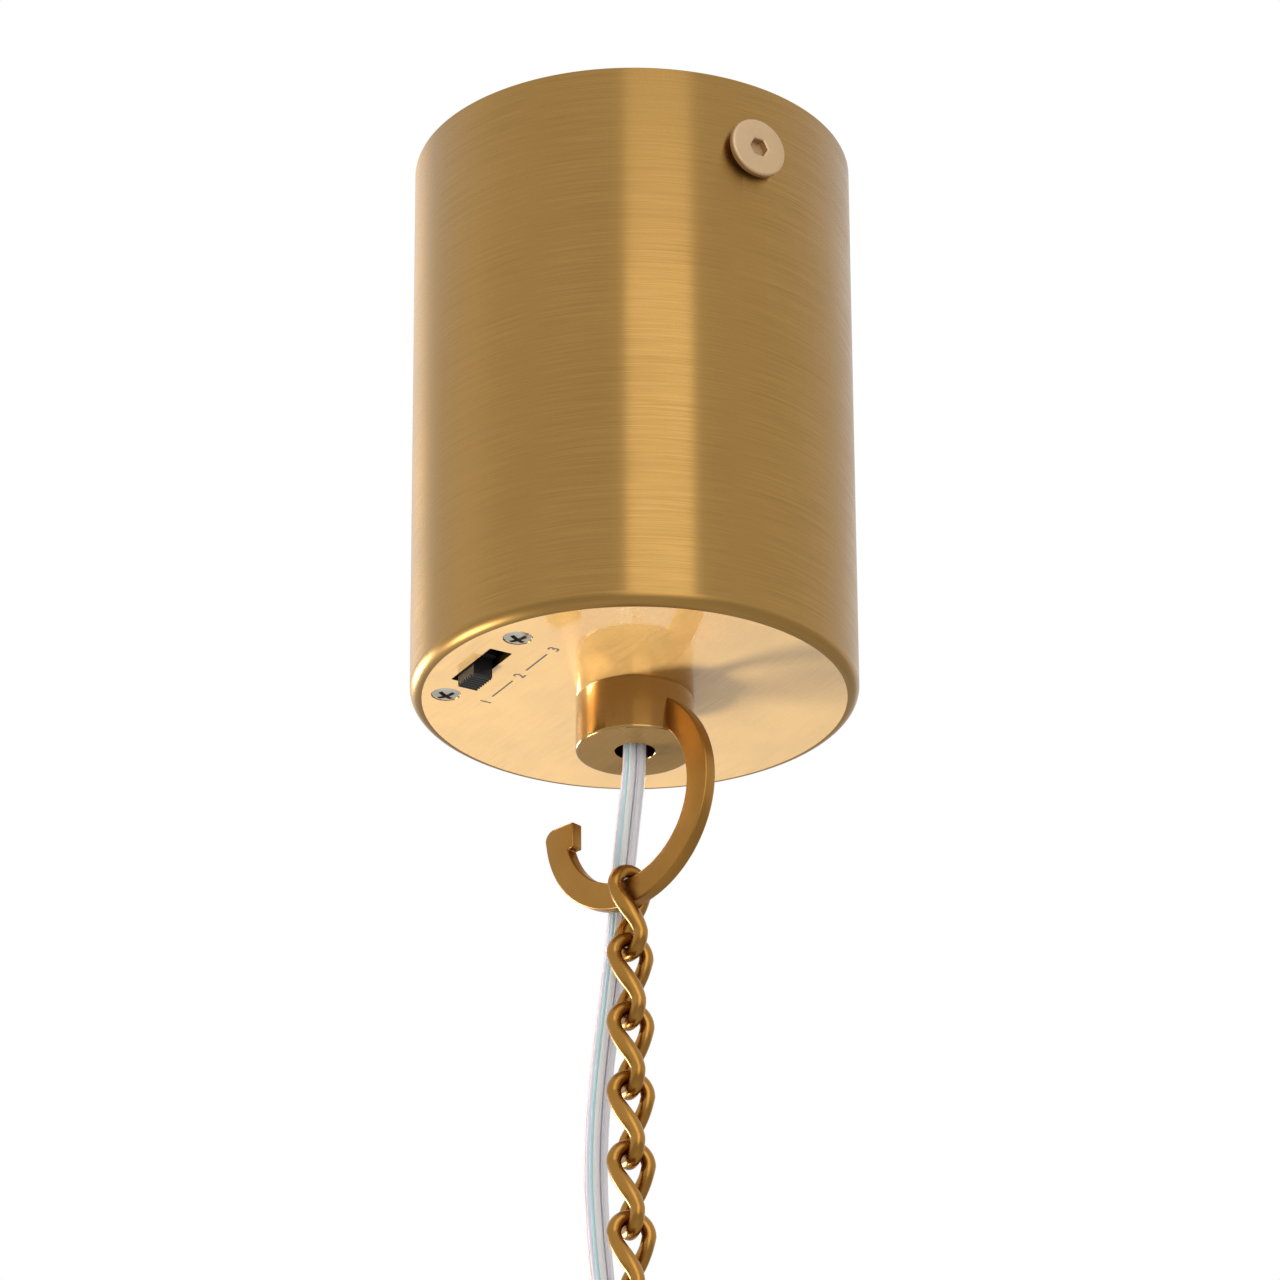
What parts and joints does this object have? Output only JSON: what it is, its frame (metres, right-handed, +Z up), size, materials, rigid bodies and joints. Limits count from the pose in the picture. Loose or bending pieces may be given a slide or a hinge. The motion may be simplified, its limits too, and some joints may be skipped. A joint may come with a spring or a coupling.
{
  "type": "ceiling canopy with hook and chain for a pendant lamp",
  "caption": "Cylindrical ceiling canopy with a slide switch in its floor and an open hook that carries a curb chain beside a clear cable, for a pendant hung at a chosen height.",
  "frame": {"origin": "centre of the bracket's face against the ceiling", "axes": "+Z up out of that face into the ceiling, -Y the front of the canopy, +X to the right seen from the front"},
  "size_m": [0.075, 0.075, 0.243],
  "materials": {
    "canopy_brass": "satin, fine brushing round the wall and straight brushing across the floor",
    "boss_brass": "satin, turned",
    "hook_brass": "satin",
    "chain_brass": "satin, twisted wire",
    "screw_brass": "satin",
    "zinc_steel": "zinc plated",
    "nickel_screw": "bright nickel plated",
    "white_plastic": "fine matte",
    "black_plastic": "fine matte",
    "board_green": "coated circuit board",
    "winding": "taped winding",
    "capacitor": "sleeved",
    "contact_brass": "bright",
    "clear_cable": "clear sheath over tinned strands",
    "connector_plastic": "clear moulding",
    "lead_sleeve": "insulated wire",
    "mains_sleeve": "insulated wire"
  },
  "bodies": {
    "canopy": {"canopy_shell": "canopy_brass", "ceiling_bracket": "zinc_steel", "side_screws": "screw_brass", "driver_case": "white_plastic", "driver_cover": "white_plastic", "driver_board": "board_green", "driver_transformer": "winding", "driver_capacitors": "capacitor", "driver_screws": "zinc_steel", "terminal_block": "white_plastic", "terminal_screws": "zinc_steel", "terminal_block_screw": "zinc_steel", "earth_screw": "zinc_steel", "earth_tag": "contact_brass", "switch_frame": "nickel_screw", "switch_base": "black_plastic", "switch_terminals": "contact_brass", "switch_screws": "nickel_screw", "hook_boss": "boss_brass", "hook": "hook_brass", "nipple": "zinc_steel", "nipple_washer": "zinc_steel", "nipple_nut": "zinc_steel", "cord_grip": "white_plastic", "cord_grip_screw": "zinc_steel", "cable": "clear_cable", "cable_connector": "connector_plastic", "connector_pins": "contact_brass", "output_leads": "lead_sleeve", "switch_leads": "lead_sleeve", "mains_leads": "mains_sleeve"},
    "switch_knob": {"switch_knob": "black_plastic", "switch_contact": "contact_brass"},
    "link_1": {"chain_link_1": "chain_brass"},
    "link_2": {"chain_link_2": "chain_brass"},
    "link_3": {"chain_link_3": "chain_brass"},
    "link_4": {"chain_link_4": "chain_brass"},
    "link_5": {"chain_link_5": "chain_brass"},
    "link_6": {"chain_link_6": "chain_brass"},
    "link_7": {"chain_link_7": "chain_brass"}
  },
  "joints": [
    {"name": "knob_slide", "type": "slide", "parent": "canopy", "child": "switch_knob", "axis": [0.5, -0.866, 0], "range_m": [0, 0.0044]},
    {"name": "link_1_swing", "type": "hinge", "parent": "canopy", "child": "link_1", "pos_m": [-0.00094, -0.00069, -0.13161], "axis": [0.6947, 0.7193, 0], "range_deg": [-18, 2]},
    {"name": "link_2_swing", "type": "hinge", "parent": "link_1", "child": "link_2", "pos_m": [-0.00094, -0.00069, -0.14626], "axis": [-0.5878, 0.809, 0], "range_deg": [-20, 20]},
    {"name": "link_3_swing", "type": "hinge", "parent": "link_2", "child": "link_3", "pos_m": [-0.00094, -0.00069, -0.15581], "axis": [-0.9135, -0.4067, 0], "range_deg": [-4, 22]},
    {"name": "link_4_swing", "type": "hinge", "parent": "link_3", "child": "link_4", "pos_m": [-0.00094, -0.00069, -0.17046], "axis": [0.4067, -0.9135, 0], "range_deg": [-20, 20]},
    {"name": "link_5_swing", "type": "hinge", "parent": "link_4", "child": "link_5", "pos_m": [-0.00094, -0.00069, -0.18001], "axis": [0.9397, 0.342, 0], "range_deg": [-22, 6]},
    {"name": "link_6_swing", "type": "hinge", "parent": "link_5", "child": "link_6", "pos_m": [-0.00094, -0.00069, -0.19466], "axis": [-0.342, 0.9397, 0], "range_deg": [-20, 20]},
    {"name": "link_7_swing", "type": "hinge", "parent": "link_6", "child": "link_7", "pos_m": [-0.00094, -0.00069, -0.20421], "axis": [-0.9511, -0.309, 0], "range_deg": [-14, 25]}
  ]
}
